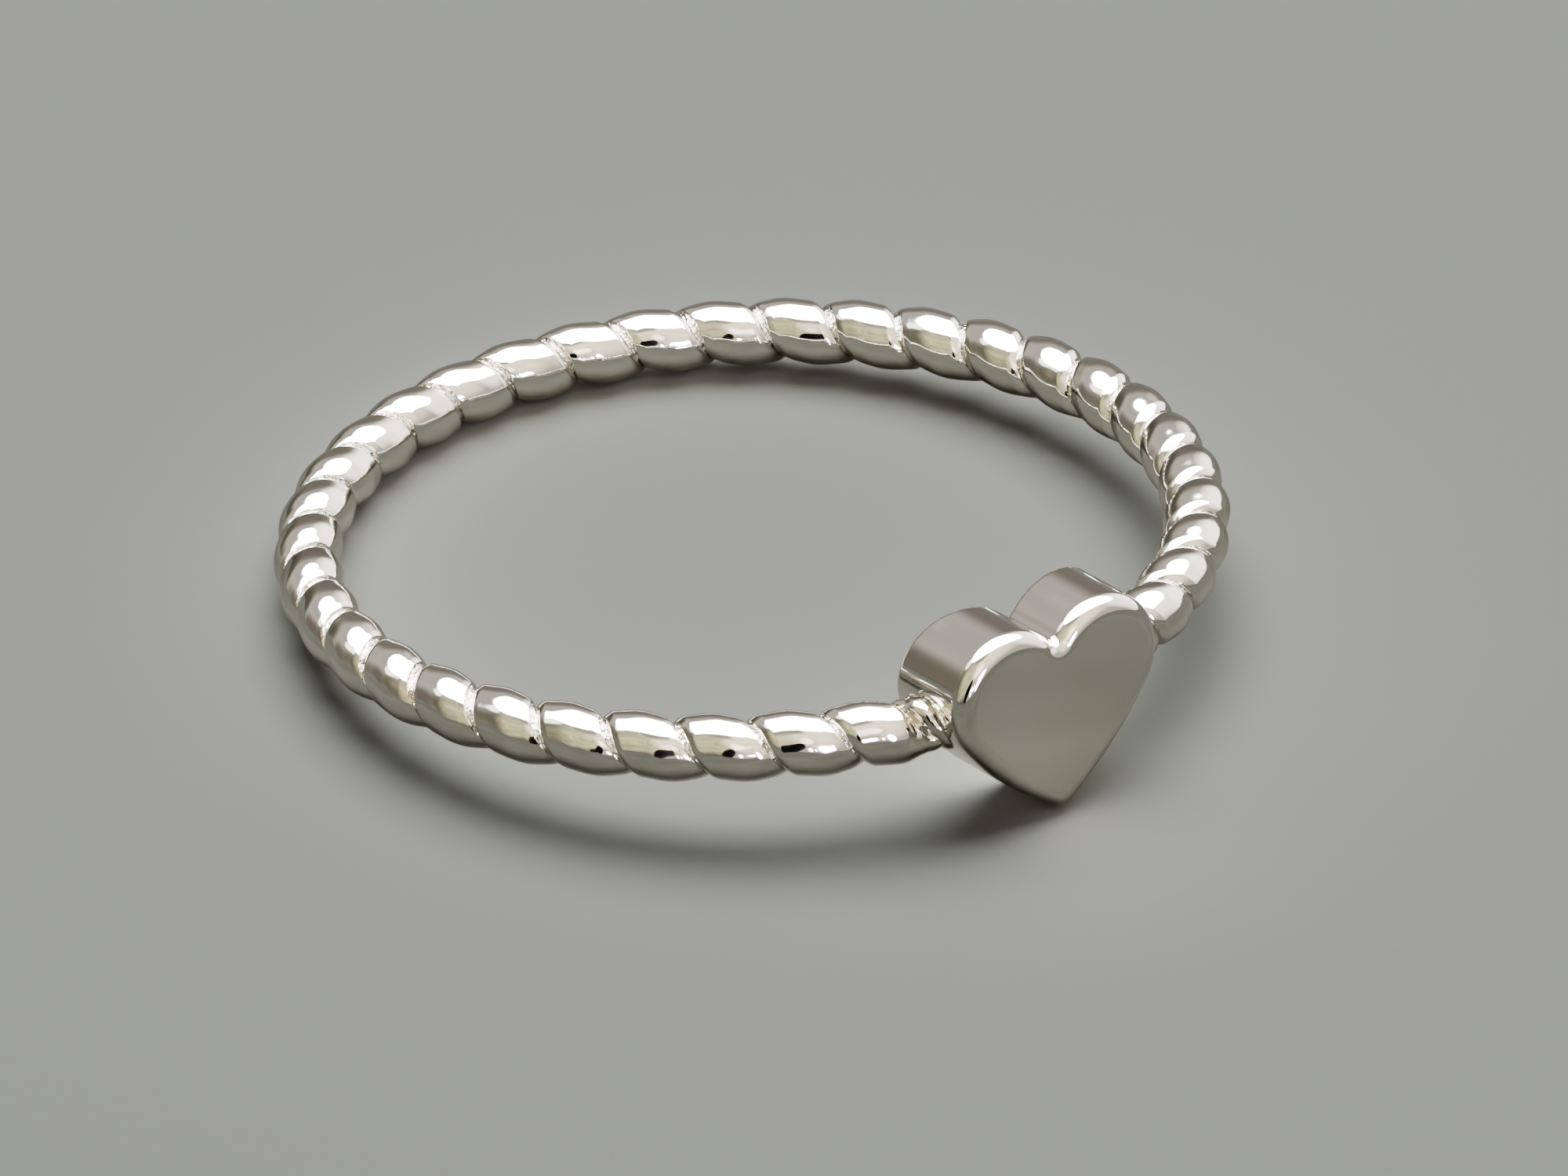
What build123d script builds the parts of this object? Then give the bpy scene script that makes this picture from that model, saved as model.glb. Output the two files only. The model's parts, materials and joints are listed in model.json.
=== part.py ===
# Heart ring: a band shaped like a corkscrew, closed at the front by a thick heart plate.
#
# The ring is drawn flat first, with the finger's axis along Z and the heart at -Y.
# At the end it is tipped to how it lies on a table: on the tip of the heart and the back of the band.
# All sizes are in millimetres and all angles in degrees.

import os
from math import asin, atan2, cos, degrees, radians, sin, sqrt

from build123d import *

# Band
BORE = 17.28                # inside diameter, the finger's size
CREST = 0.72                # from the band's centre line to the crest of the twist
GROOVE = 0.52               # from the centre line to the bottom of the groove behind the crest
TURNS = 36                  # turns of the twist from one end of the band to the other
OPENING = 18                # arc between the band's ends, which both lie inside the heart
CREST_START = 186           # where the crest points at the band's ends, from +Z towards the outside
FLANK = 105                 # from the crest, the angle where the round side turns into the groove's flank
FLANK_SHARE = 0.66          # height that the flank still has there, of crest less groove
SECTIONS = 12               # sections that one turn is lofted through

# Heart
HEART_WIDTH = 5.3           # across both lobes
HEART_HEIGHT = 4.4          # from the top of the lobes to the tip
HEART_TOP = 2.02            # top of the lobes above the band's middle plane
HEART_THICKNESS = 1.8       # from the finger to the face, in the middle
LOBE_RADIUS = 1.44          # round of the two lobes
TIP_RADIUS = 0.42           # round of the tip
NOTCH_RADIUS = 0.15         # round at the bottom of the notch
SIDE_RADIUS = 7.6           # gentle bow of the two long sides
RIM_RADIUS = 0.38           # soft edge round the face
BACK_EDGE = 0.12            # broken edge round the hollow back

# Joints between the band and the heart
SOLDER_RADIUS = 0.66        # bead of solder where the band meets the side of the heart
END_OVERLAP = 0.1           # how far the band reaches into the heart before its inside is filed down

band_radius = BORE / 2 + CREST
band_arc = 360 - OPENING
turn_arc = band_arc / TURNS
heart_back = BORE / 2
heart_face = heart_back + HEART_THICKNESS


def polar(radius, angle):
    """Point at a distance and an angle from the origin."""
    return Vector(radius * cos(radians(angle)), radius * sin(radians(angle)))


def heading(start, end):
    """Angle of the line from one point to another."""
    return degrees(atan2(end.Y - start.Y, end.X - start.X))


# One turn of the band

def section_plane(share):
    """Plane across the band at a share of one turn, with its Y axis towards the crest."""
    outward = polar(1, share * turn_arc)
    clockwise = outward.rotate(Axis.Z, -90)
    twist = radians(CREST_START + 360 * share)
    beside_crest = cos(twist) * outward - sin(twist) * Vector(0, 0, 1)
    return Plane(origin=band_radius * outward, x_dir=beside_crest, z_dir=clockwise)


flank_radius = GROOVE + FLANK_SHARE * (CREST - GROOVE)
flank = polar(flank_radius, 90 - FLANK)

with BuildPart() as turn:
    for step in range(SECTIONS + 1):
        with BuildSketch(section_plane(step / SECTIONS)):
            with BuildLine():
                side = TangentArc((0, CREST), flank, tangent=(1, 0))
                TangentArc(flank, (0, -GROOVE), tangent=side % 1)
                mirror(about=Plane.YZ)
            make_face()
    loft()

# The whole band, open where the heart goes

with BuildPart() as band:
    with PolarLocations(0, TURNS, start_angle=-90 + OPENING / 2, angular_range=band_arc):
        add(turn.part)

# The heart plate: its back is hollowed to the finger's curve, so its sides are deeper than its middle

lobe = Vector(HEART_WIDTH / 2 - LOBE_RADIUS, HEART_TOP - LOBE_RADIUS)
tip = Vector(0, HEART_TOP - HEART_HEIGHT + TIP_RADIUS)
notch = Vector(0, lobe.Y + sqrt((LOBE_RADIUS + NOTCH_RADIUS) ** 2 - lobe.X**2))

# The bowed side touches the lobe and the tip from outside, so its centre is known from both
lobe_reach = SIDE_RADIUS - LOBE_RADIUS
tip_reach = SIDE_RADIUS - TIP_RADIUS
lobe_to_tip = (tip - lobe).length
inner = degrees(asin((lobe_reach**2 + lobe_to_tip**2 - tip_reach**2) / (2 * lobe_reach * lobe_to_tip)))
bow = lobe + polar(lobe_reach, heading(lobe, tip) - 90 + inner)

lobe_end = heading(bow, lobe)
tip_start = heading(bow, tip)
notch_end = heading(notch, lobe)

with BuildPart() as heart:
    with BuildSketch(Plane.XZ.offset(heart_face)):
        with BuildLine():
            CenterArc(notch, NOTCH_RADIUS, -90, notch_end + 90)
            CenterArc(lobe, LOBE_RADIUS, notch_end + 180, lobe_end - notch_end - 180)
            CenterArc(bow, SIDE_RADIUS, lobe_end, tip_start - lobe_end)
            CenterArc(tip, TIP_RADIUS, tip_start, -90 - tip_start)
            mirror(about=Plane.YZ)
        make_face()
    extrude(amount=-heart_face + heart_back / 2)
    Cylinder(heart_back, 2 * HEART_HEIGHT, mode=Mode.SUBTRACT)
    fillet(heart.faces().sort_by(Axis.Y)[0].edges(), min(RIM_RADIUS, 0.9 * TIP_RADIUS))
    fillet(heart.faces().sort_by(Axis.Y)[-1].edges(), BACK_EDGE)

# The flat ring: the band's ends are filed down inside the heart and soldered to its sides

side_x = lobe.X + sqrt(LOBE_RADIUS**2 - lobe.Y**2)
joint_y = -sqrt(band_radius**2 - side_x**2)

with BuildPart() as flat_ring:
    add(band.part)
    with BuildSketch(Plane.XZ.offset(heart_back)):
        Rectangle(2 * (side_x - END_OVERLAP), HEART_HEIGHT)
    extrude(amount=-heart_back / 2, mode=Mode.SUBTRACT)
    add(heart.part)
    with Locations((-side_x, joint_y, 0), (side_x, joint_y, 0)):
        Sphere(SOLDER_RADIUS)

# How it lies: one plane touches the tip's back edge and the crests at the back of the band

tip_edge = Vector(-heart_back - BACK_EDGE, HEART_TOP - HEART_HEIGHT + BACK_EDGE)
band_back = Vector(band_radius, 0)
tilt = heading(tip_edge, band_back) - degrees(asin((CREST - BACK_EDGE) / (band_back - tip_edge).length))

with BuildPart(Plane.XY.rotated((-tilt, 0, 0))) as tipped:
    add(flat_ring.part)

# The origin is the middle of the ring's outline on the table
extent = tipped.part.bounding_box()
footing = Plane((-extent.center().X, -extent.center().Y, -extent.min.Z))

with BuildPart(footing) as heart_ring:
    add(tipped.part)

heart_ring.part.label = "heart_ring"

os.makedirs("parts", exist_ok=True)
export_step(heart_ring.part, "parts/heart_ring.step")

print("solids", len(heart_ring.part.solids()), "volume", round(heart_ring.part.volume, 3))
print("tilt", round(tilt, 3), "footing", footing.origin)
print("box", heart_ring.part.bounding_box())
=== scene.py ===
# %% [markdown]
# # A heart ring in polished silver
#
# The ring is a slim band with a corkscrew twist. A thick heart-shaped plate closes it at the front.
# It lies on a table, on the tip of its heart and on the back of its band.
# The measured model of the ring is loaded first and never changes. It gives the place, the tilt and the
# box of everything that is modelled here. The pieces are drawn in millimetres, flat and in the ring's own
# frame, and are then shrunk to metres and tipped to where the ring lies.

# %% Load the fixed frame
import json
from math import asin, atan2, cos, degrees, radians, sin, sqrt

import bpy
from mathutils import Matrix, Vector


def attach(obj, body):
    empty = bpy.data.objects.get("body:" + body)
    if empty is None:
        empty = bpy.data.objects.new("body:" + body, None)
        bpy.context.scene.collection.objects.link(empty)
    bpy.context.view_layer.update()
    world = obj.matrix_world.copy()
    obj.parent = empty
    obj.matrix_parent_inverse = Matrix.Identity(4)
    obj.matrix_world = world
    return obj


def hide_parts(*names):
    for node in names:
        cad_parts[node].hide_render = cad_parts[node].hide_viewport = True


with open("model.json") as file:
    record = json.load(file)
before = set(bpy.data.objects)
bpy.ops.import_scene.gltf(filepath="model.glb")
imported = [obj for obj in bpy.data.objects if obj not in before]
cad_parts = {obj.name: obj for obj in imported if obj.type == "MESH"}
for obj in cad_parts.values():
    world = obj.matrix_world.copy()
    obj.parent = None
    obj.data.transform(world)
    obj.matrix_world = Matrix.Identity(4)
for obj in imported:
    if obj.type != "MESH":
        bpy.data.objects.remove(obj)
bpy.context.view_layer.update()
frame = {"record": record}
finger = next(m for m in frame["record"]["mounts"] if m["name"] == "finger")
ring_centre = Vector(finger["pos_m"])
ring_axis = Vector(finger["axis"])
MM = 0.001
tip_over = Vector((0, 0, 1)).rotation_difference(ring_axis).to_matrix().to_4x4()
ring_place = Matrix.Translation(ring_centre) @ tip_over @ Matrix.Scale(MM, 4)
print("ring centre", ring_centre, "tilt", round(degrees(ring_axis.angle((0, 0, 1))), 2))

# %% [markdown]
# ## Sizes
#
# These are the sizes of the measured model. The twist has one crest that winds round the band's centre
# line, once for each turn, so a cut across the band is a round with a shallow notch opposite the crest.

# %% Sizes of the ring, in millimetres and degrees
BORE = 17.28                # inside diameter, the finger's size
CREST = 0.72                # from the band's centre line to the crest of the twist
GROOVE = 0.52               # from the centre line to the bottom of the groove
TURNS = 36                  # turns of the twist from one end of the band to the other
OPENING = 18                # arc between the band's ends
CREST_START = 186           # where the crest points at the band's ends, from straight up outwards

HEART_WIDTH = 5.3           # across both lobes
HEART_HEIGHT = 4.4          # from the top of the lobes to the tip
HEART_TOP = 2.02            # top of the lobes above the band's middle plane
HEART_THICKNESS = 1.8       # in the middle, from the finger to the face
LOBE_RADIUS = 1.44          # round of the two lobes
TIP_RADIUS = 0.42           # round of the tip
NOTCH_RADIUS = 0.15         # round at the bottom of the notch
SIDE_RADIUS = 7.6           # gentle bow of the two long sides
RIM_RADIUS = 0.38           # soft edge round the face
BACK_EDGE = 0.12            # broken edge round the hollow back
SOLDER_RADIUS = 0.66        # the measured model's round bead of solder
END_OVERLAP = 0.1           # how far the band reaches into the heart
TOLERANCE = 1e-4            # places that are nearer to each other than this count as the same

band_radius = BORE / 2 + CREST
heart_back = BORE / 2
print("band centre line", band_radius, "mm from the finger's axis")

# %% [markdown]
# ## The camera
#
# The picture is taken from close by with a long lens, a little above the table and to the left of the
# heart. The place and the lens were found by fitting a camera to the ring's outline. The camera looks at a
# point a little below the middle of the ring, so that the ring sits high in the picture.

# %% Camera at the picture's angle
CAMERA_DISTANCE = 350       # millimetres from the middle of the ring
CAMERA_RISE = 27.75         # degrees above the ring's plane
CAMERA_TURN = 36.5          # degrees round the ring, from in front of the heart to the left
CAMERA_ROLL = -3.17
PICTURE_WIDTH = 2000        # pixels
PICTURE_CENTRE = (1000, 750)
RING_PIXEL = (959.4, 681.8)     # where the middle of the ring is in the picture
PIXELS_PER_MM = 60.63       # at the middle of the ring
SENSOR_WIDTH = 36


def toward(turn, rise):
    """Direction in the ring's frame, at an angle from the heart's side and above the ring's plane."""
    flat = Matrix.Rotation(-radians(turn), 3, "Z") @ Vector((0, -1, 0))
    return cos(radians(rise)) * flat + sin(radians(rise)) * Vector((0, 0, 1))


camera_back = toward(CAMERA_TURN, CAMERA_RISE)
level_right = Vector((0, 0, 1)).cross(camera_back).normalized()
level_up = camera_back.cross(level_right)
roll = radians(CAMERA_ROLL)
camera_right = cos(roll) * level_right + sin(roll) * level_up
camera_up = camera_back.cross(camera_right)

aim_right = (PICTURE_CENTRE[0] - RING_PIXEL[0]) / PIXELS_PER_MM
aim_up = (RING_PIXEL[1] - PICTURE_CENTRE[1]) / PIXELS_PER_MM
aim = aim_right * camera_right + aim_up * camera_up
eye = camera_back * CAMERA_DISTANCE
looking_back = (eye - aim).normalized()
looking_right = camera_up.cross(looking_back).normalized()
looking_up = looking_back.cross(looking_right)

turned = Matrix((looking_right, looking_up, looking_back)).transposed().to_4x4()
camera_data = bpy.data.cameras.new("camera")
camera_data.sensor_width = SENSOR_WIDTH
camera_data.lens = SENSOR_WIDTH * PIXELS_PER_MM * CAMERA_DISTANCE / PICTURE_WIDTH
camera_data.clip_start = 0.01
camera_data.clip_end = 20
camera = bpy.data.objects.new("camera", camera_data)
bpy.context.collection.objects.link(camera)
camera.location = ring_place @ eye
camera.rotation_euler = (tip_over @ turned).to_euler()
bpy.context.scene.camera = camera
print("lens", round(camera_data.lens, 1), "mm, camera at", camera.location)

# %% [markdown]
# ## Drawing outlines
#
# Both the band's cut and the heart's outline are arcs that run smoothly into each other.
# A single vertex is swung round the centre of each arc in turn, which leaves the arc behind it.

# %% Helpers for drawing and placing


def deselect():
    """Nothing is selected, the measured model's nodes included."""
    if bpy.context.mode != "OBJECT":
        bpy.ops.object.mode_set(mode="OBJECT")
    bpy.ops.object.select_all(action="DESELECT")


def place(piece, matrix):
    """Puts a piece where a matrix says and leaves its object at the origin."""
    deselect()
    piece.select_set(True)
    bpy.context.view_layer.objects.active = piece
    piece.matrix_world = matrix @ piece.matrix_world
    bpy.ops.object.transform_apply(location=True, rotation=True, scale=True)


def apply_modifier(piece, name, kind, **settings):
    """Adds a modifier with its settings and applies it."""
    modifier = piece.modifiers.new(name, kind)
    for key, value in settings.items():
        setattr(modifier, key, value)
    bpy.context.view_layer.objects.active = piece
    bpy.ops.object.modifier_apply(modifier=name)


def start_line(name, point):
    """An object with one vertex, in edit mode, to draw an outline from."""
    deselect()
    bpy.ops.mesh.primitive_plane_add(size=1, location=(point[0], point[1], 0))
    bpy.ops.object.transform_apply(location=True)
    line = bpy.context.object
    line.name = name
    bpy.ops.object.mode_set(mode="EDIT")
    bpy.ops.mesh.merge(type="CENTER")
    return line


def arc(centre, turn, steps):
    """Swings the end of the outline round a centre, counter-clockwise where the turn is positive."""
    middle = (centre[0], centre[1], 0)
    bpy.ops.mesh.spin(steps=steps, angle=-radians(turn), center=middle, axis=(0, 0, 1))


def polar(radius, angle):
    """Point at a distance and an angle from the origin."""
    return Vector((radius * cos(radians(angle)), radius * sin(radians(angle))))


def heading(start, end):
    """Angle of the line from one point to another."""
    return degrees(atan2(end[1] - start[1], end[0] - start[0]))


# %% [markdown]
# ## The cut across the band
#
# Such a band is twisted or cast straight and is then bent round a mandrel. It is made the same way here,
# and starts with the cut across it: a round that is fullest at the crest, with a groove opposite.
# The two sides of the groove differ. The buff reached one of them, and that side stays full and rolls over
# steeply, which gives each turn of the twist its blunt end. The other side slopes, was never polished, and
# gets more points than it needs for its shape, because it is crumpled later.

# %% Draw the cut across the band
FULL_FLANK = 124            # degrees from the crest to where the full side turns down into the groove
FULL_SHARE = 0.72           # how much of the height from groove to crest it still has there
ROUGH_FLANK = 105           # the same on the rough side
ROUGH_SHARE = 0.66

groove = Vector((0, -GROOVE))


def side_arcs(flank_angle, share):
    """Centre and turn of the arc up one side of the groove, and of the round arc from there to the crest.

    The flank meets the round at an angle from the crest, at a share of the height from groove to crest."""
    flank = polar(GROOVE + share * (CREST - GROOVE), 90 - flank_angle)
    round_centre = Vector((0, (CREST**2 - flank.length_squared) / (2 * (CREST - flank.y))))
    inward = (round_centre - flank).normalized()
    reach = flank - groove
    flank_centre = flank - reach.length_squared / (2 * reach.dot(inward)) * inward
    flank_turn = (heading(flank_centre, flank) - heading(flank_centre, groove)) % 360
    return flank_centre, flank_turn, round_centre, 90 - heading(round_centre, flank)


full_centre, full_turn, full_round, full_round_turn = side_arcs(FULL_FLANK, FULL_SHARE)
rough_centre, rough_turn, rough_round, rough_round_turn = side_arcs(ROUGH_FLANK, ROUGH_SHARE)

band = start_line("band", groove)
arc(full_centre, full_turn, steps=12)
arc(full_round, full_round_turn, steps=20)
arc(rough_round, rough_round_turn, steps=16)
arc((-rough_centre.x, rough_centre.y), rough_turn, steps=18)
bpy.ops.mesh.select_all(action="SELECT")
bpy.ops.mesh.remove_doubles(threshold=TOLERANCE)
bpy.ops.object.mode_set(mode="OBJECT")
print("points in the cut", len(band.data.vertices))

# %% [markdown]
# The rough side is remembered in a vertex group, whose weight grows from the shoulder down to the groove.
# A vertex group goes through the modifiers that follow, so the finished band still knows where it is rough.

# %% Mark how far down the rough side of the groove each point lies


def weigh(piece, name, weights):
    """Keeps a weight for each vertex in a vertex group."""
    group = piece.vertex_groups.get(name) or piece.vertex_groups.new(name=name)
    for index, weight in weights.items():
        group.add([index], weight, "REPLACE")


def weights_of(piece, name):
    """Weight of each vertex in a vertex group, 0 for those outside it."""
    group = piece.vertex_groups[name].index
    return [next((g.weight for g in v.groups if g.group == group), 0) for v in piece.data.vertices]


def ease(value, low, high):
    """Rises smoothly from 0 at low to 1 at high."""
    share = min(1, max(0, (value - low) / (high - low)))
    return share * share * (3 - 2 * share)


depth = {}
for vertex in band.data.vertices:
    from_crest = degrees(Vector((0, 1)).angle(vertex.co.xy))
    if vertex.co.x < TOLERANCE and from_crest > ROUGH_FLANK:
        depth[vertex.index] = (from_crest - ROUGH_FLANK) / (180 - ROUGH_FLANK)
weigh(band, "down the flank", depth)
print("points on the rough side", len(depth))

# %% [markdown]
# ## The twisted band
#
# A Screw modifier winds the cut into a straight rope of as many turns as the ring has. The rope's open ends
# are filled, and a Simple Deform modifier bends it into the ring. The cut could also be swept along a curve,
# but a curve's own twist is hard to set to an exact number of turns, and the Screw is exact.

# %% Wind the cut into a rope
SECTIONS_PER_TURN = 40
rope_length = radians(360 - OPENING) * band_radius

place(band, Matrix.Rotation(radians(90 - CREST_START), 4, "Z"))
apply_modifier(band, "twist", "SCREW", screw_offset=rope_length / TURNS, iterations=TURNS,
               steps=SECTIONS_PER_TURN, render_steps=SECTIONS_PER_TURN)
bpy.ops.object.mode_set(mode="EDIT")
bpy.ops.mesh.select_all(action="DESELECT")
bpy.ops.mesh.select_non_manifold()
bpy.ops.mesh.fill_holes(sides=0)
bpy.ops.mesh.select_all(action="SELECT")
bpy.ops.mesh.normals_make_consistent(inside=False)
bpy.ops.object.mode_set(mode="OBJECT")
print("rope", round(rope_length, 2), "mm long,", len(band.data.polygons), "faces")

# %% [markdown]
# The bend works along one axis and from its object's origin, so the rope is first laid along the X axis with
# its middle there. It is bent by the whole circle less the opening for the heart.

# %% Bend the rope round the finger
lying = Matrix.Rotation(radians(90), 4, "Y") @ Matrix.Translation((0, 0, -rope_length / 2))
place(band, lying)
apply_modifier(band, "bend", "SIMPLE_DEFORM", deform_method="BEND", deform_axis="Z",
               angle=-radians(360 - OPENING))
place(band, Matrix.Translation((0, band_radius, 0)))
print("band", [round(size, 2) for size in band.dimensions], "mm")

# %% [markdown]
# ## Filing the ends
#
# The band's ends reach into the heart. Inside it they are filed down, so that nothing of them shows in
# the hollow back. A box takes that part away with a Boolean modifier. That is done before anything is
# crumpled, because a Boolean needs a clean skin.

# %% File the band's ends down inside the heart
lobe = Vector((HEART_WIDTH / 2 - LOBE_RADIUS, HEART_TOP - LOBE_RADIUS))
side_x = lobe.x + sqrt(LOBE_RADIUS**2 - lobe.y**2)
joint_y = -sqrt(band_radius**2 - side_x**2)
file_depth = heart_back / 2

deselect()
bpy.ops.mesh.primitive_cube_add(size=1, location=(0, file_depth / 2 - heart_back, 0))
filed_away = bpy.context.object
filed_away.scale = (2 * (side_x - END_OVERLAP), file_depth, HEART_HEIGHT)
bpy.ops.object.transform_apply(scale=True)
apply_modifier(band, "file", "BOOLEAN", operation="DIFFERENCE", object=filed_away, solver="EXACT")
bpy.data.objects.remove(filed_away)
print("band after filing", len(band.data.polygons), "faces")

# %% [markdown]
# ## Rough places
#
# A buff only reaches what stands out, so the bottom of the groove keeps the crumpled skin that the metal
# froze with. The strip is wide on the band's upper side and runs out to a thin line below.
# Where the band meets the heart, the heat of soldering has slumped its end, most of all on top.
# Both places are weighed for each vertex first, so that the roughness can fade out at their edges.

# %% Weigh the rough places of the band
STRIP_TOP_START = 0.5       # how far down the rough side the strip begins on top of the band
STRIP_LOW_START = 0.9       # and how far down on its lower side
STRIP_EDGE = 0.12           # share of the side over which the strip fades in
STRIP_WIDENS = 0.35         # it widens from here, where 0 is the band's underside and 1 its top,
STRIP_WIDEST = 0.95         # to here
JOINT_REACH = 0.95          # millimetres from the joint's middle to where the slumped skin ends
JOINT_EDGE = 0.25           # the last part of that, over which it fades out
JOINT_LOW_SHARE = 0.3       # how much of the slump the lower side gets
TOP_BLEND = 0.3             # millimetres above the band's middle where its upper side has begun


def heavier_on_top(height, low_share):
    """Weight of 1 on the upper side, which falls to a low share on the lower side."""
    return low_share + (1 - low_share) * ease(height, -TOP_BLEND, TOP_BLEND)


down_flank = weights_of(band, "down the flank")
strip = {}
joint = {}
for vertex in band.data.vertices:
    upper = ease(0.5 + 0.5 * vertex.co.z / CREST, STRIP_WIDENS, STRIP_WIDEST)
    start = STRIP_LOW_START + (STRIP_TOP_START - STRIP_LOW_START) * upper
    strip[vertex.index] = ease(down_flank[vertex.index], start, start + STRIP_EDGE)
    one_side = Vector((abs(vertex.co.x), vertex.co.y, vertex.co.z))
    from_joint = (one_side - Vector((side_x, joint_y, 0))).length
    slump = 1 - ease(from_joint, JOINT_REACH - JOINT_EDGE, JOINT_REACH)
    joint[vertex.index] = slump * heavier_on_top(vertex.co.z, JOINT_LOW_SHARE)
weigh(band, "strip", strip)
weigh(band, "joint", joint)
print("points in the strip", sum(w > 0.5 for w in strip.values()))
print("points at the joints", sum(w > 0.5 for w in joint.values()))

# %% [markdown]
# One Displace modifier sinks a place along its normals, and a second one raises bumps from a cloud texture.
# Bumps in the mesh, unlike bumps in a material alone, also break up the outline and are part of the shape
# itself.

# %% Sink and crumple them
STRIP_GRAIN = 0.12          # width of the bumps
STRIP_DEPTH = 0.06
STRIP_CRUMPLE = 0.11        # height of the bumps
JOINT_GRAIN = 0.4
JOINT_DEPTH = 0.06
JOINT_CRUMPLE = 0.16


def crumple(piece, group, grain, depth, height):
    """Sinks a group of vertices by a depth and crumples it by a height, with bumps as wide as the grain."""
    clouds = bpy.data.textures.new(group, "CLOUDS")
    clouds.noise_scale = grain
    clouds.noise_depth = 1
    apply_modifier(piece, "sink", "DISPLACE", vertex_group=group, strength=-depth, mid_level=0)
    apply_modifier(piece, "crumple", "DISPLACE", vertex_group=group, strength=height, mid_level=0.5,
                   texture=clouds, texture_coords="LOCAL")


crumple(band, "strip", STRIP_GRAIN, STRIP_DEPTH, STRIP_CRUMPLE)
crumple(band, "joint", JOINT_GRAIN, JOINT_DEPTH, JOINT_CRUMPLE)
print("strip sunk by", STRIP_DEPTH, "mm and crumpled by", STRIP_CRUMPLE, "mm")
print("joints sunk by", JOINT_DEPTH, "mm and crumpled by", JOINT_CRUMPLE, "mm")

# %% [markdown]
# ## The heart
#
# The heart is a plate sawn or cast to its outline, hollowed at the back to the finger's curve. Its two
# lobes, the tip and the notch are arcs, and each long side is a shallow bow that touches the lobe and the
# tip. Half the outline is drawn and mirrored. It is filled and pulled up to the plate's thickness, and the
# edge round the face is rounded over as a file and a buff leave it.

# %% Draw the heart's outline
tip = Vector((0, HEART_TOP - HEART_HEIGHT + TIP_RADIUS))
notch = Vector((0, lobe.y + sqrt((LOBE_RADIUS + NOTCH_RADIUS) ** 2 - lobe.x**2)))
lobe_reach = SIDE_RADIUS - LOBE_RADIUS
tip_reach = SIDE_RADIUS - TIP_RADIUS
lobe_to_tip = (tip - lobe).length
inner = degrees(asin((lobe_reach**2 + lobe_to_tip**2 - tip_reach**2) / (2 * lobe_reach * lobe_to_tip)))
bow = lobe + polar(lobe_reach, heading(lobe, tip) - 90 + inner)
notch_end = heading(notch, lobe)
lobe_end = heading(bow, lobe)
tip_start = heading(bow, tip)

heart = start_line("heart", notch - Vector((0, NOTCH_RADIUS)))
arc(notch, notch_end + 90, steps=8)
arc(lobe, lobe_end - notch_end - 180, steps=60)
arc(bow, tip_start - lobe_end, steps=24)
arc(tip, -90 - tip_start, steps=14)
bpy.ops.object.mode_set(mode="OBJECT")
apply_modifier(heart, "other half", "MIRROR", merge_threshold=1e-5)
print("points in the outline", len(heart.data.vertices))

# %% [markdown]
# The filled outline is extruded, and the edges round its face and its back are bevelled. They are selected by
# their height, as they would be by hand with a box in the side view.

# %% Raise the plate and round its edges
RIM_STEPS = 12
BACK_EDGE_STEPS = 4

bpy.ops.object.mode_set(mode="EDIT")
bpy.ops.mesh.select_all(action="SELECT")
bpy.ops.mesh.edge_face_add()
bpy.ops.mesh.extrude_region_move(TRANSFORM_OT_translate={"value": (0, 0, HEART_THICKNESS)})
bpy.ops.mesh.select_all(action="SELECT")
bpy.ops.mesh.normals_make_consistent(inside=False)
bpy.ops.object.mode_set(mode="OBJECT")


def round_level_edges(piece, height, radius, steps):
    """Rounds the edges that lie at one height."""
    bpy.ops.object.mode_set(mode="EDIT")
    bpy.ops.mesh.select_all(action="DESELECT")
    bpy.ops.mesh.select_mode(type="EDGE")
    bpy.ops.object.mode_set(mode="OBJECT")
    vertices = piece.data.vertices
    for edge in piece.data.edges:
        edge.select = all(abs(vertices[v].co.z - height) < TOLERANCE for v in edge.vertices)
    bpy.ops.object.mode_set(mode="EDIT")
    bpy.ops.mesh.bevel(offset=radius, segments=steps, affect="EDGES")
    bpy.ops.object.mode_set(mode="OBJECT")


round_level_edges(heart, HEART_THICKNESS, RIM_RADIUS, RIM_STEPS)
round_level_edges(heart, 0, BACK_EDGE, BACK_EDGE_STEPS)
print("plate", len(heart.data.polygons), "faces")

# %% [markdown]
# Smooth shading blends the directions of neighbouring faces, which would make the flat face and the walls
# look puffed up. A narrow line of faces beside each round edge takes up that blend instead.

# %% Keep the flat places flat
BLEND_WIDTH = 0.02          # wider than this, and a band of shade shows beside the edges


def select_level_faces(piece, height):
    """Selects the flat faces at one height."""
    bpy.ops.object.mode_set(mode="EDIT")
    bpy.ops.mesh.select_mode(type="FACE")
    bpy.ops.mesh.select_all(action="DESELECT")
    bpy.ops.object.mode_set(mode="OBJECT")
    for face in piece.data.polygons:
        face.select = abs(face.center.z - height) < TOLERANCE and abs(face.normal.z) > 0.99
    bpy.ops.object.mode_set(mode="EDIT")


for height in (HEART_THICKNESS, 0):
    select_level_faces(heart, height)
    bpy.ops.mesh.inset(thickness=BLEND_WIDTH)
for height in (HEART_THICKNESS - RIM_RADIUS - BLEND_WIDTH, BACK_EDGE + BLEND_WIDTH):
    bpy.ops.mesh.select_all(action="SELECT")
    bpy.ops.mesh.bisect(plane_co=(0, 0, height), plane_no=(0, 0, 1))
bpy.ops.object.mode_set(mode="OBJECT")
print("plate with its narrow faces", len(heart.data.polygons), "faces")

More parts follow.
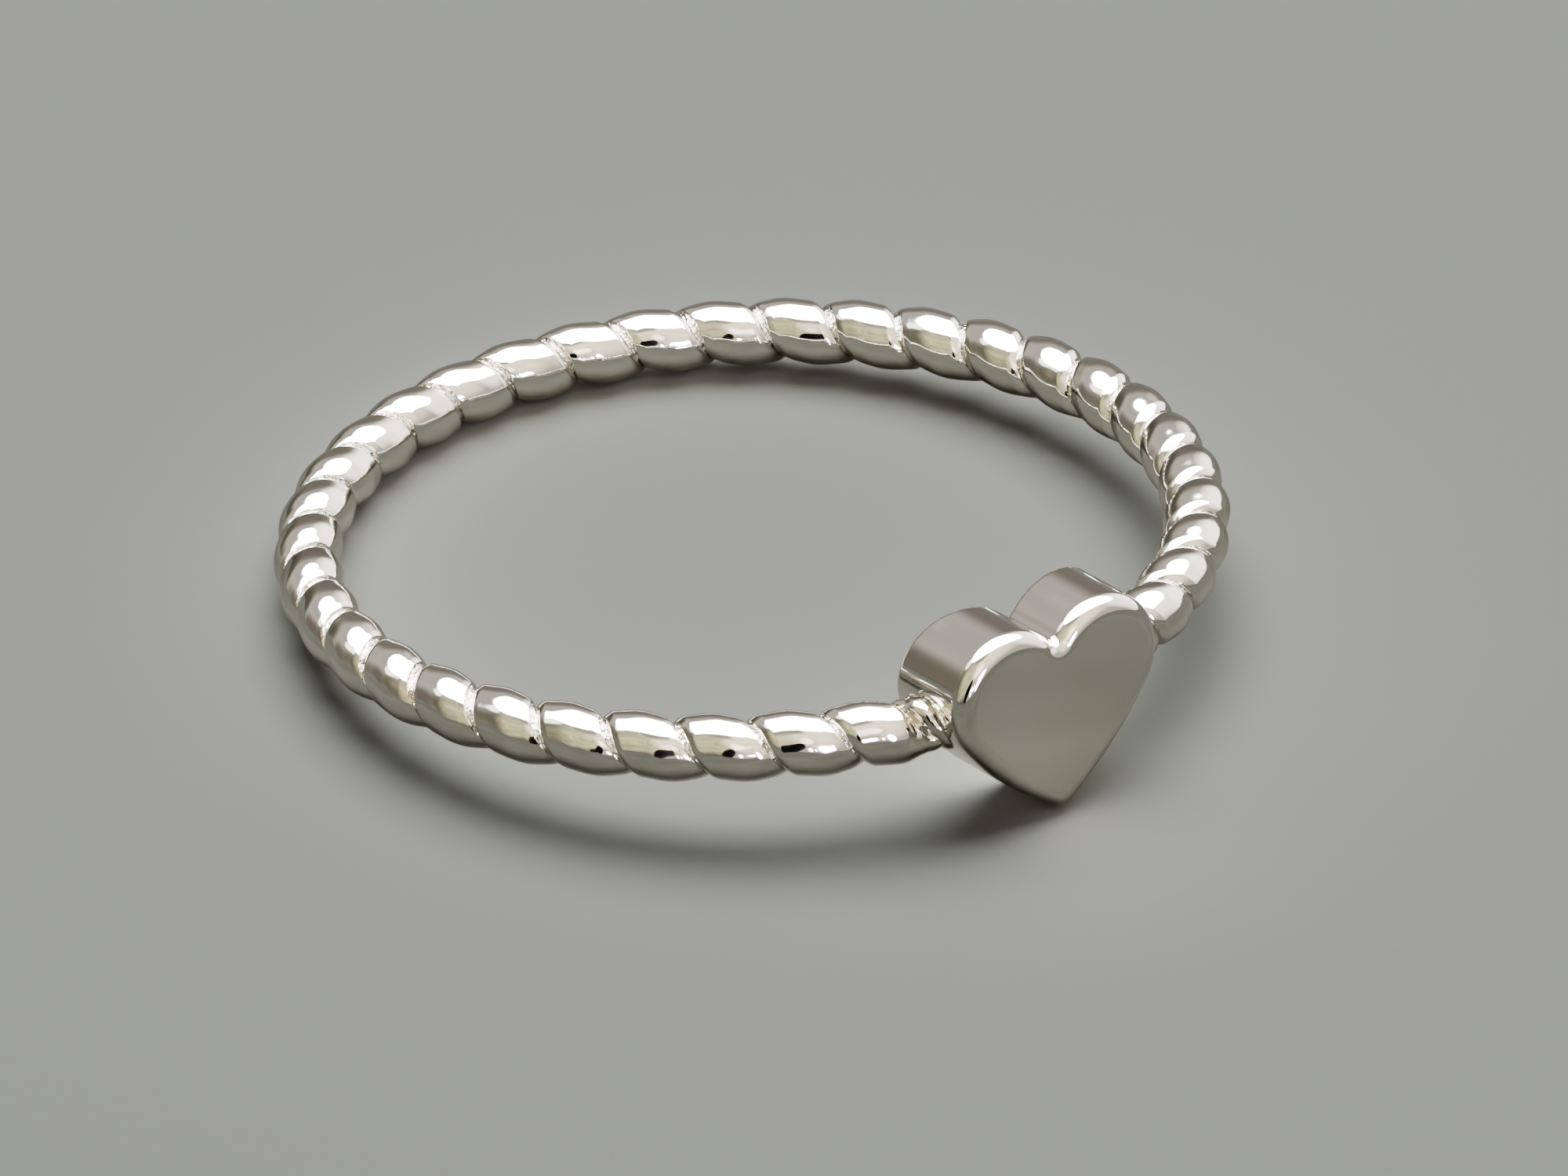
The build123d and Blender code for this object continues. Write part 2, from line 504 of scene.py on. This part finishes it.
# %% [markdown]
# The flat back is cut into narrow upright strips, and all that lies near the back is then moved onto the
# finger's curve. The walls stretch with it, so the sides of the heart end deeper than its middle. A Boolean
# with a cylinder would cut the same hollow, but would break up the rounded edge along it.

# %% Hollow the back to the finger's curve
BACK_STRIPS = 36

for cut_number in range(1, BACK_STRIPS):
    select_level_faces(heart, 0)
    cut_x = HEART_WIDTH * (cut_number / BACK_STRIPS - 0.5)
    bpy.ops.mesh.bisect(plane_co=(cut_x, 0, 0), plane_no=(1, 0, 0))
bpy.ops.object.mode_set(mode="OBJECT")

for vertex in heart.data.vertices:
    if vertex.co.z < BACK_EDGE + BLEND_WIDTH + TOLERANCE:
        vertex.co.z -= heart_back - sqrt(heart_back**2 - vertex.co.x**2)
upright = Matrix.Translation((0, -heart_back, 0)) @ Matrix.Rotation(radians(90), 4, "X")
place(heart, upright)
print("heart", len(heart.data.polygons), "faces", [round(size, 2) for size in heart.dimensions], "mm")

# %% [markdown]
# ## Solder
#
# Solder runs round each joint and freezes in an uneven lump, smoother below, where it hung, than on top.
# A finely divided ball is crumpled with wide folds, and never stands out further than the measured model's
# round bead. Its left and right copies get other folds, because the folds depend on the place.

# %% Solder where the band meets the heart
LUMP_FOLD = 0.42            # width of the folds
LUMP_FOLD_DEPTH = 0.208
LUMP_FOLD_HEIGHT = 0.26
LUMP_LOW_SHARE = 0.35       # how much of the folding the lower side gets


def solder_joint(name, side):
    """A small lump of solder on one side of the heart, uneven as it froze."""
    deselect()
    joint_middle = (side * side_x, joint_y, 0)
    bpy.ops.mesh.primitive_ico_sphere_add(subdivisions=6, radius=SOLDER_RADIUS, location=joint_middle)
    bpy.ops.object.transform_apply(location=True)
    lump = bpy.context.object
    lump.name = name
    folding = {v.index: heavier_on_top(v.co.z, LUMP_LOW_SHARE) for v in lump.data.vertices}
    weigh(lump, name, folding)
    crumple(lump, name, LUMP_FOLD, LUMP_FOLD_DEPTH, LUMP_FOLD_HEIGHT)
    print(name, [round(size, 2) for size in lump.dimensions], "mm")
    return lump


solder = [solder_joint("solder_left", -1), solder_joint("solder_right", 1)]

# %% [markdown]
# ## Into place
#
# One matrix shrinks the pieces from millimetres to metres, tips them and sets them down on the table.
# They are shaded smooth, apart from edges where two faces meet at a sharper angle than any of the rounds.

# %% Put everything in its place in the frame
SHARP_EDGE = 35

pieces = [band, heart, *solder]
for piece in pieces:
    place(piece, ring_place)
    bpy.ops.object.shade_smooth_by_angle(angle=radians(SHARP_EDGE))
print("pieces", [piece.name for piece in pieces])

# %% [markdown]
# ## Materials
#
# All of the ring is silver. What the eye tells apart is how each place was finished, so each finish is a
# metal of its own: its colour and its haze change in patches, and low waves bend what it mirrors.
# The patterns read each piece's own coordinates, and their widths are given in millimetres.

# %% Helpers for materials
MIX_SHARE = 0               # a Mix node's sockets for colours, by their number
FIRST_COLOUR = 6
SECOND_COLOUR = 7
MIXED_COLOUR = 2


def linear(colour):
    """Linear red, green, blue and alpha of an sRGB hex colour."""
    shares = [int(colour[i:i + 2], 16) / 255 for i in (1, 3, 5)]
    return [c / 12.92 if c <= 0.04045 else ((c + 0.055) / 1.055) ** 2.4 for c in shares] + [1]


def per_metre(width):
    """Scale of a pattern whose repeats are a number of millimetres wide."""
    return 1 / (width * MM)


def add_node(tree, kind, settings, inputs):
    """Adds a node, gives it its settings, and fills or links its inputs."""
    node = tree.nodes.new("ShaderNode" + kind)
    for name, value in settings.items():
        setattr(node, name, value)
    for name, value in inputs.items():
        if isinstance(value, bpy.types.NodeSocket):
            tree.links.new(value, node.inputs[name])
        else:
            node.inputs[name].default_value = value
    return node


def metal(name, bright, dull, patch_width, smooth, rough, wave_width, wave_height):
    """A bare metal with two tones and two grades of polish in patches, and with low waves.

    The widths and the height are in millimetres, smooth and rough are the shader's roughness."""
    material = bpy.data.materials.new(name)
    material.use_nodes = True
    tree = material.node_tree
    shader = tree.nodes["Principled BSDF"]
    shader.inputs["Metallic"].default_value = 1
    spot = add_node(tree, "TexCoord", {}, {}).outputs["Object"]

    patches = add_node(tree, "TexNoise", {}, {
        "Vector": spot, "Scale": per_metre(patch_width), "Detail": 4, "Roughness": 0.6})
    tint = add_node(tree, "Mix", {"data_type": "RGBA"}, {
        MIX_SHARE: patches.outputs[0], FIRST_COLOUR: linear(bright), SECOND_COLOUR: linear(dull)})
    haze = add_node(tree, "MapRange", {}, {
        "Value": patches.outputs[0], "From Min": 0.3, "From Max": 0.7, "To Min": smooth, "To Max": rough})
    waves = add_node(tree, "TexNoise", {}, {
        "Vector": spot, "Scale": per_metre(wave_width), "Detail": 3, "Roughness": 0.5})
    swell = add_node(tree, "Bump", {}, {"Height": waves.outputs[0], "Distance": wave_height * MM})

    tree.links.new(tint.outputs[MIXED_COLOUR], shader.inputs["Base Color"])
    tree.links.new(haze.outputs["Result"], shader.inputs["Roughness"])
    tree.links.new(swell.outputs["Normal"], shader.inputs["Normal"])
    print(name, "patches", patch_width, "mm, waves", wave_width, "mm wide and", wave_height, "mm high")
    return material


# %% [markdown]
# ### Polished lobes of the band
#
# Cast sterling silver, tumbled and buffed, then plated with a few tenths of a micron of rhodium. The plating
# is what makes it a near neutral white, with only a breath of the silver's own warmth in the duller
# patches. The buff leaves low waves, half as wide as a turn and 4 microns high. They make the edges of the
# reflections wander a little, which tells the eye that the band was polished by hand.

# %% Polished band
polished = metal("polished_rhodium_plated_silver", bright="#E9E6E0", dull="#DAD6CC", patch_width=0.8,
                 smooth=0.04, rough=0.10, wave_width=0.7, wave_height=0.004)

# %% [markdown]
# ### Cast skin at the bottom of the groove
#
# No buff gets in here, so it keeps the skin that it froze with in the mould, plated over. Its deep, close
# bumps catch the light in single points. The grey-brown between them is painted shade: a dark tone mixed
# into the colour in random patches. Together they give the twist the sparkling line along each turn. Real
# cast skin is grained at about 0.03 mm. It is drawn at 0.11 mm, because grains of the real size would be
# close to the size of a pixel and would blur to a grey.

# %% Unpolished groove
# The dull tone is painted shade for the hollows between the bumps, laid in random patches.
cast_skin_and_painted_shade = metal("cast_silver_with_painted_shade", bright="#EAE6DC", dull="#767064", patch_width=0.12,
                smooth=0.03, rough=0.14, wave_width=0.11, wave_height=0.06)

# %% [markdown]
# ### Filed and buffed heart
#
# The plate was filed flat and round its rim, then buffed on a hard wheel. It is the smoothest place of the
# ring, so it mirrors large, calm shapes. Its waves are as low as the band's and twice as wide, as the wheel
# bridges more of a flat face than of a turn.

# %% Buffed heart
buffed = metal("filed_and_buffed_silver", bright="#E4E0D9", dull="#D8D4CB", patch_width=1.6,
               smooth=0.035, rough=0.075, wave_width=1.5, wave_height=0.004)

# %% [markdown]
# ### Solder
#
# Silver solder holds copper and zinc, so it is a shade warmer and greyer than the silver beside it. It
# froze with a skin like wax that has run, and a light buffing has left soft ripples of 12 microns. The eye
# sees small, smooth, bent reflections there, between the sparkle of the groove and the calm of the heart.

# %% Frozen solder
frozen = metal("frozen_silver_solder", bright="#E6E2D6", dull="#C9C4B6", patch_width=0.25,
               smooth=0.04, rough=0.10, wave_width=0.5, wave_height=0.012)

# %% [markdown]
# The weights that shaped the rough places also say which faces of the band are which metal.

# %% Give each face its metal
ROUGH_WEIGHT = 0.3
POLISHED_SLOT, CAST_SLOT, SOLDER_SLOT = 0, 1, 2

for finish in (polished, cast_skin_and_painted_shade, frozen):
    band.data.materials.append(finish)
heart.data.materials.append(buffed)
for lump in solder:
    lump.data.materials.append(frozen)

strip_weight = weights_of(band, "strip")
joint_weight = weights_of(band, "joint")
for face in band.data.polygons:
    if min(joint_weight[v] for v in face.vertices) > ROUGH_WEIGHT:
        face.material_index = SOLDER_SLOT
    elif min(strip_weight[v] for v in face.vertices) > ROUGH_WEIGHT:
        face.material_index = CAST_SLOT
for slot in (POLISHED_SLOT, CAST_SLOT, SOLDER_SLOT):
    faces = sum(face.material_index == slot for face in band.data.polygons)
    print("band", faces, "faces in", band.data.materials[slot].name)

# %% [markdown]
# ## Table
#
# The ring lies on a plain, matt, pale board. It has no shine of its own, because the light overhead would
# otherwise leave a grey bloom on it.

# %% Table
BOARD_SIZE = 4              # metres, so that no edge of it shows

deselect()
bpy.ops.mesh.primitive_plane_add(size=BOARD_SIZE, location=(0, 0, 0))
floor = bpy.context.object
floor.name = "floor"
board = bpy.data.materials.new("matt_pale_board")
board.use_nodes = True
board_shader = board.node_tree.nodes["Principled BSDF"]
board_shader.inputs["Base Color"].default_value = linear("#ACAFA8")
board_shader.inputs["Roughness"].default_value = 0.9
board_shader.inputs["Specular IOR Level"].default_value = 0
floor.data.materials.append(board)
print("table", [round(size, 2) for size in floor.dimensions], "m")

# %% [markdown]
# ## Light
#
# A polished ring shows nothing but what stands round it, so the light is built like a photographer's tent.
# One large white panel hangs overhead, and its round edge is the white cap on every turn of the band. It
# hangs a little behind the ring and to the right, because the ring's near side mirrors it only high up.
# A second light in the same place lights the table and casts the soft shadow, without being mirrored.

# %% Panel and soft light overhead
DISC_FACTOR = 3.1416        # a disc light's watts for one unit of brightness on each square metre


def seen_at(turn, rise):
    """Direction in the room, at a turn to the right of the camera and a rise above the ring's plane."""
    return tip_over.to_3x3() @ toward(CAMERA_TURN - turn, rise)


def softbox(name, turn, rise, distance, width, depth, brightness, colour, slide=(0, 0), spun=0):
    """A soft oval light that faces the ring.

    It is slid to the right and up within its own plane, and spun within it by an angle."""
    light = bpy.data.lights.new(name, "AREA")
    light.shape = "ELLIPSE"
    light.size = width
    light.size_y = depth
    light.energy = brightness * DISC_FACTOR * width * depth
    light.color = linear(colour)[:3]
    outward = seen_at(turn, rise)
    across = seen_at(turn + 90, 0)
    upward = outward.cross(across)
    box = bpy.data.objects.new(name, light)
    bpy.context.collection.objects.link(box)
    box.location = ring_centre + distance * outward + slide[0] * across + slide[1] * upward
    facing_ring = Matrix((across, upward, outward)).transposed()
    box.rotation_euler = (facing_ring @ Matrix.Rotation(radians(spun), 3, "Z")).to_euler()
    box.visible_camera = False
    print(name, round(light.energy, 2), "W")
    return box


panel = softbox("panel overhead", turn=0, rise=90, distance=0.5, width=1.0, depth=0.65,
                brightness=25, colour="#FFFFFF", slide=(0.105, 0.175), spun=15)
panel.visible_diffuse = False
top_light = softbox("soft light on the table", turn=0, rise=90, distance=0.6, width=0.8, depth=0.65,
                    brightness=3.4, colour="#FFFFFF", slide=(0.1, 0.2))
top_light.visible_glossy = False

# %% [markdown]
# Three small, low windows to the right of the camera are the white glints on the flanks of the band.

# %% Low windows
WINDOWS = [
    # turn, rise, width, height
    (10, 4, 0.028, 0.06),
    (19, 4, 0.012, 0.04),
    (32, 6, 0.07, 0.12),
]

for number, (turn, rise, width, height) in enumerate(WINDOWS):
    window = softbox(f"low window {number}", turn, rise, distance=0.3, width=width, depth=height,
                     brightness=30, colour="#F2F0FF")
    window.visible_diffuse = False

# %% [markdown]
# ## Cards
#
# Bright metal needs something dark to mirror as well, or it looks like plaster. A black card stands in front
# of the ring and puts the dark hollow into each turn. A grey card lies under the ring and darkens the
# undersides: it is painted shade, a board darker than the lit one, mirrored as if the table round the ring
# lay in shade. Only the metal sees them: they throw no shadow and don't show in the picture.

# %% Felt cards
FELT_CLOUDS = 7             # millimetres; real felt is finer, but only its wide clouds show in the metal


def felt_card(name, card, dark, light):
    """Covers a card in cloudy felt of two shades and hides it from all but the metal."""
    card.name = name
    felt = bpy.data.materials.new(name)
    felt.use_nodes = True
    tree = felt.node_tree
    felt_shader = tree.nodes["Principled BSDF"]
    felt_shader.inputs["Specular IOR Level"].default_value = 0
    spot = add_node(tree, "TexCoord", {}, {}).outputs["Object"]
    clouds = add_node(tree, "TexNoise", {}, {"Vector": spot, "Scale": per_metre(FELT_CLOUDS), "Detail": 2})
    shade = add_node(tree, "MapRange", {}, {
        "Value": clouds.outputs[0], "From Min": 0.35, "From Max": 0.65})
    tone = add_node(tree, "Mix", {"data_type": "RGBA"}, {
        MIX_SHARE: shade.outputs["Result"], FIRST_COLOUR: linear(dark), SECOND_COLOUR: linear(light)})
    tree.links.new(tone.outputs[MIXED_COLOUR], felt_shader.inputs["Base Color"])
    card.data.materials.append(felt)
    card.visible_camera = False
    card.visible_diffuse = False
    card.visible_shadow = False
    print(name, [round(size, 2) for size in card.dimensions], "m")


# %% [markdown]
# The black card is a tall oval that leans, because the dark hollow in each turn leans with the twist.

# %% Black card in front
BLACK_CARD_TURN = -7
BLACK_CARD_RISE = 9
BLACK_CARD_DISTANCE = 0.25
BLACK_CARD_WIDTH = 0.08
BLACK_CARD_HEIGHT = 0.16
BLACK_CARD_LEAN = -25

to_card = seen_at(BLACK_CARD_TURN, BLACK_CARD_RISE)
leaning = Matrix.Rotation(radians(BLACK_CARD_LEAN), 3, "Z")
facing_ring = to_card.to_track_quat("Z", "Y").to_matrix() @ leaning

deselect()
bpy.ops.mesh.primitive_circle_add(vertices=24, radius=0.5, fill_type="NGON")
black_card = bpy.context.object
black_card.scale = (BLACK_CARD_WIDTH, BLACK_CARD_HEIGHT, 1)
black_card.location = ring_centre + BLACK_CARD_DISTANCE * to_card
black_card.rotation_euler = facing_ring.to_euler()
bpy.ops.object.transform_apply(location=True, rotation=True, scale=True)
felt_card("black_felt_card", black_card, "#0E0E10", "#1C1C20")

# %% [markdown]
# The grey card is a disc that lies a hair above the board. It is painted shade: the metal mirrors it instead
# of the board, as if the table round the ring lay in shade. The board alone would be as bright in the metal
# as it is in the picture, and the undersides of the turns would go pale.

# %% Grey card under the ring
SHADE_CARD_RADIUS = 0.6
CARD_LIFT = 0.00005         # metres above the board, so that the two don't flicker

deselect()
bpy.ops.mesh.primitive_circle_add(vertices=96, radius=SHADE_CARD_RADIUS, location=(0, 0, CARD_LIFT),
                                  fill_type="NGON")
painted_shade_card = bpy.context.object
bpy.ops.object.transform_apply(location=True)
# Painted shade: a darker board that only the metal mirrors.
felt_card("painted_shade_felt_card", painted_shade_card, "#83847B", "#96978E")

# %% [markdown]
# ## Room
#
# The rest of the surroundings is a room painted in broad, soft patches: cream in front and to the left,
# paler to the right, bright behind the ring on the right, and dim on the far left. Each patch
# is a cone of directions that fades from its inner to its outer angle, and each is laid over those before.
# A real room would be modelled and lit, but only its reflection shows here, and painted patches are quicker
# to match to it. The part that the ring's near side mirrors is mottled, as the walls of a real room are.

# %% Paint the room
ROOM_PATCHES = [
    # turn, rise, inner, outer, colour, brightness
    (180, 90, 10, 70, "#F4F2EE", 0.6),       # ceiling
    (-178, 4, 16, 36, "#F6E8DC", 0.27),      # dim wall straight behind the ring
    (122, 26, 18, 42, "#FFFAEC", 3.5),       # bright wall behind the ring on the right
    (136, 14, 8, 24, "#FFFAF0", 4.5),        # and its brightest part
    (-146, 6, 8, 24, "#FFFADC", 0.12),       # dim corner behind it on the left
    (-105, 10, 6, 25, "#FFEEDC", 0.22),      # dim wall on the left
    (-70, 22, 10, 36, "#FFFADC", 0.2),       # and its near end
    (-98, 48, 6, 12, "#FFFCF4", 5),          # white sheet over it, up to the panel
    (-28, 32, 8, 46, "#FFF6C0", 1.2),        # cream wall in front
    (36, 46, 10, 48, "#FFF0D4", 2.6),        # paler wall on the right
    (12, 34, 4, 13, "#FFEAE0", 6),           # its brightest spot
    (-20, 72, 8, 20, "#FFF8D8", 0.5),        # gap between the wall and the panel
    (-30, -12, 8, 26, "#FFFADC", 0.2),       # foot of the wall in front
]

world = bpy.data.worlds.new("room")
world.use_nodes = True
tree = world.node_tree
background = tree.nodes["Background"]
direction = add_node(tree, "TexCoord", {}, {}).outputs["Generated"]


def glow(colour, brightness):
    """Linear colour made brighter or darker."""
    return [c * brightness for c in linear(colour)[:3]] + [1]


paint = glow("#FFF5E8", 0.8)
for turn, rise, inner_angle, outer_angle, colour, brightness in ROOM_PATCHES:
    near_middle = add_node(tree, "VectorMath", {"operation": "DOT_PRODUCT"}, {
        0: direction, 1: seen_at(turn, rise)})
    share = add_node(tree, "MapRange", {"interpolation_type": "SMOOTHSTEP"}, {
        "Value": near_middle.outputs["Value"],
        "From Min": cos(radians(outer_angle)), "From Max": cos(radians(inner_angle))})
    coat = add_node(tree, "Mix", {"data_type": "RGBA"}, {
        MIX_SHARE: share.outputs["Result"], FIRST_COLOUR: paint, SECOND_COLOUR: glow(colour, brightness)})
    paint = coat.outputs[MIXED_COLOUR]
print("patches in the room", len(ROOM_PATCHES))

# %% [markdown]
# A noise makes the room's light stronger and weaker in patches. It only does so towards the near side,
# because the flat walls of the heart mirror the rest, and they are calm.

# %% Mottle the part that the near side mirrors
FIRST_NUMBER = 2            # a Mix node's sockets for plain numbers
SECOND_NUMBER = 3
MIXED_NUMBER = 0

mottle = add_node(tree, "TexNoise", {}, {
    "Vector": direction, "Scale": 4.5, "Detail": 3, "Roughness": 0.55})
mottled = add_node(tree, "MapRange", {}, {
    "Value": mottle.outputs[0], "From Min": 0.3, "From Max": 0.7, "To Min": 0.65, "To Max": 1.3})
facing = add_node(tree, "VectorMath", {"operation": "DOT_PRODUCT"}, {0: direction, 1: seen_at(-20, 30)})
near_side = add_node(tree, "MapRange", {}, {
    "Value": facing.outputs["Value"], "From Min": 0.4, "From Max": 0.8})
strength = add_node(tree, "Mix", {}, {
    MIX_SHARE: near_side.outputs["Result"], FIRST_NUMBER: 1, SECOND_NUMBER: mottled.outputs["Result"]})

tree.links.new(paint, background.inputs["Color"])
tree.links.new(strength.outputs[MIXED_NUMBER], background.inputs["Strength"])
world.cycles_visibility.diffuse = False
bpy.context.scene.world = world
print("nodes in the room", len(tree.nodes))

# %% [markdown]
# ## Hand over
#
# The ring is one rigid body. All its pieces ride on that body and stand in for the one node of the
# measured model, which is hidden.

# %% Hand over
for piece in pieces:
    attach(piece, "root")
    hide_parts("heart_ring")
